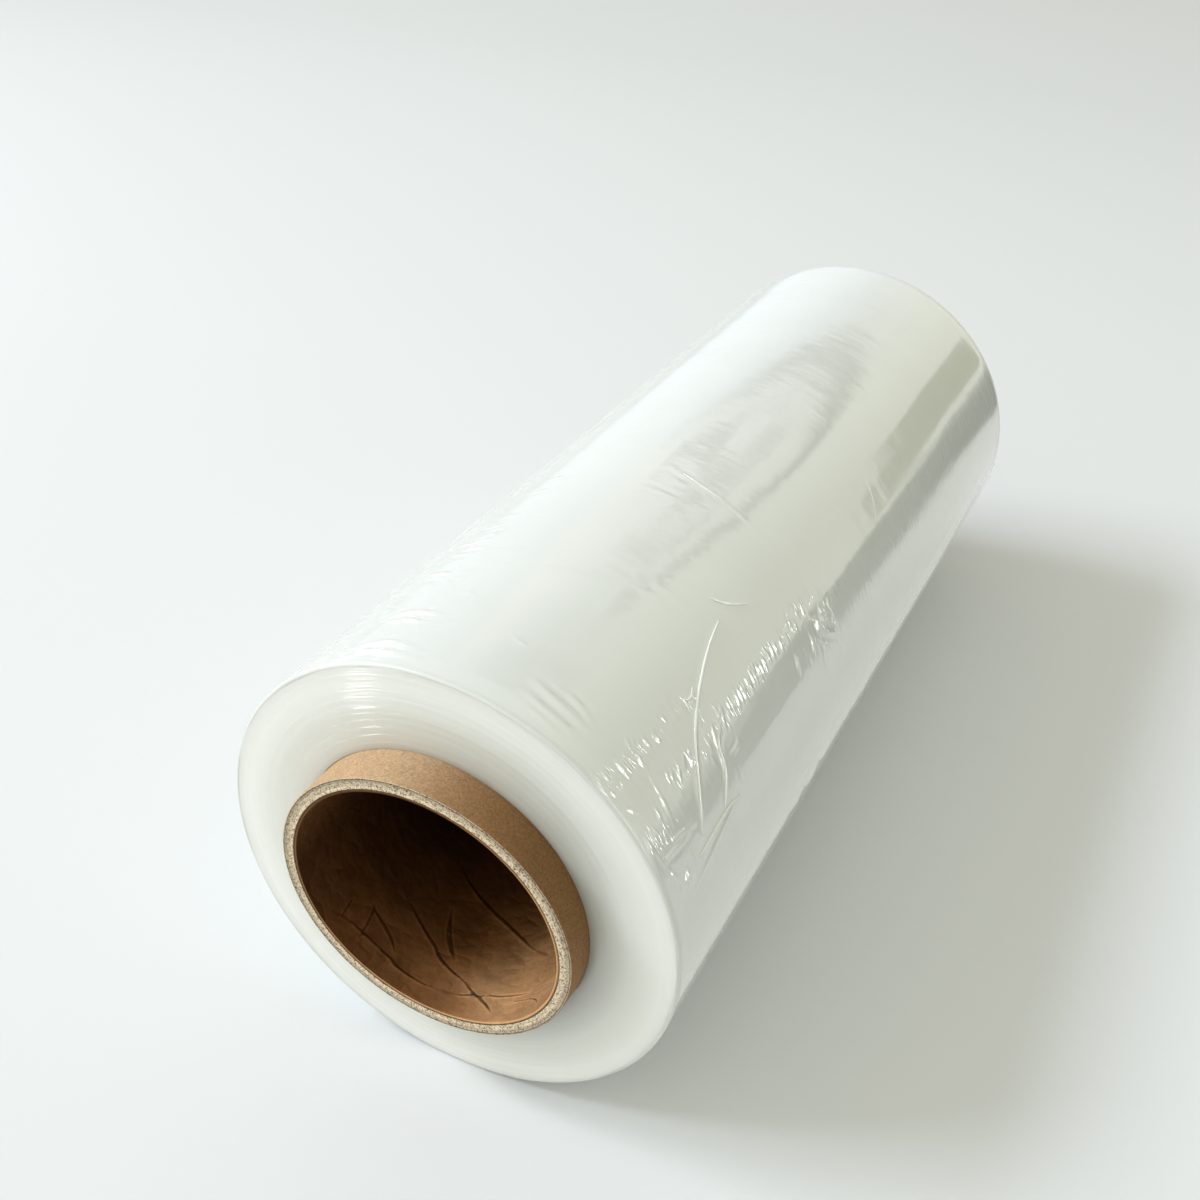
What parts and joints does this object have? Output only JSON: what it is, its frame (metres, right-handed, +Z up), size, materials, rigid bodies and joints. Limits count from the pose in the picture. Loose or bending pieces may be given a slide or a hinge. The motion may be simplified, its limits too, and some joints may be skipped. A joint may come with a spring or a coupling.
{
  "type": "stretch wrap roll",
  "caption": "Roll of clear stretch film wound on a paper core whose ends stand out of the film, lying on its side.",
  "frame": {"origin": "on the floor under the middle of the roll, which lies on the flat spot of its side", "axes": "+Y along the roll's axis from the front end to the far end, +Z up"},
  "size_m": [0.134, 0.346, 0.1341],
  "materials": {
    "core_board": "matt kraft board",
    "stretch_film": "glossy milky film"
  },
  "bodies": {
    "root": {"core_tube": "core_board", "wound_film": "stretch_film"}
  },
  "joints": []
}
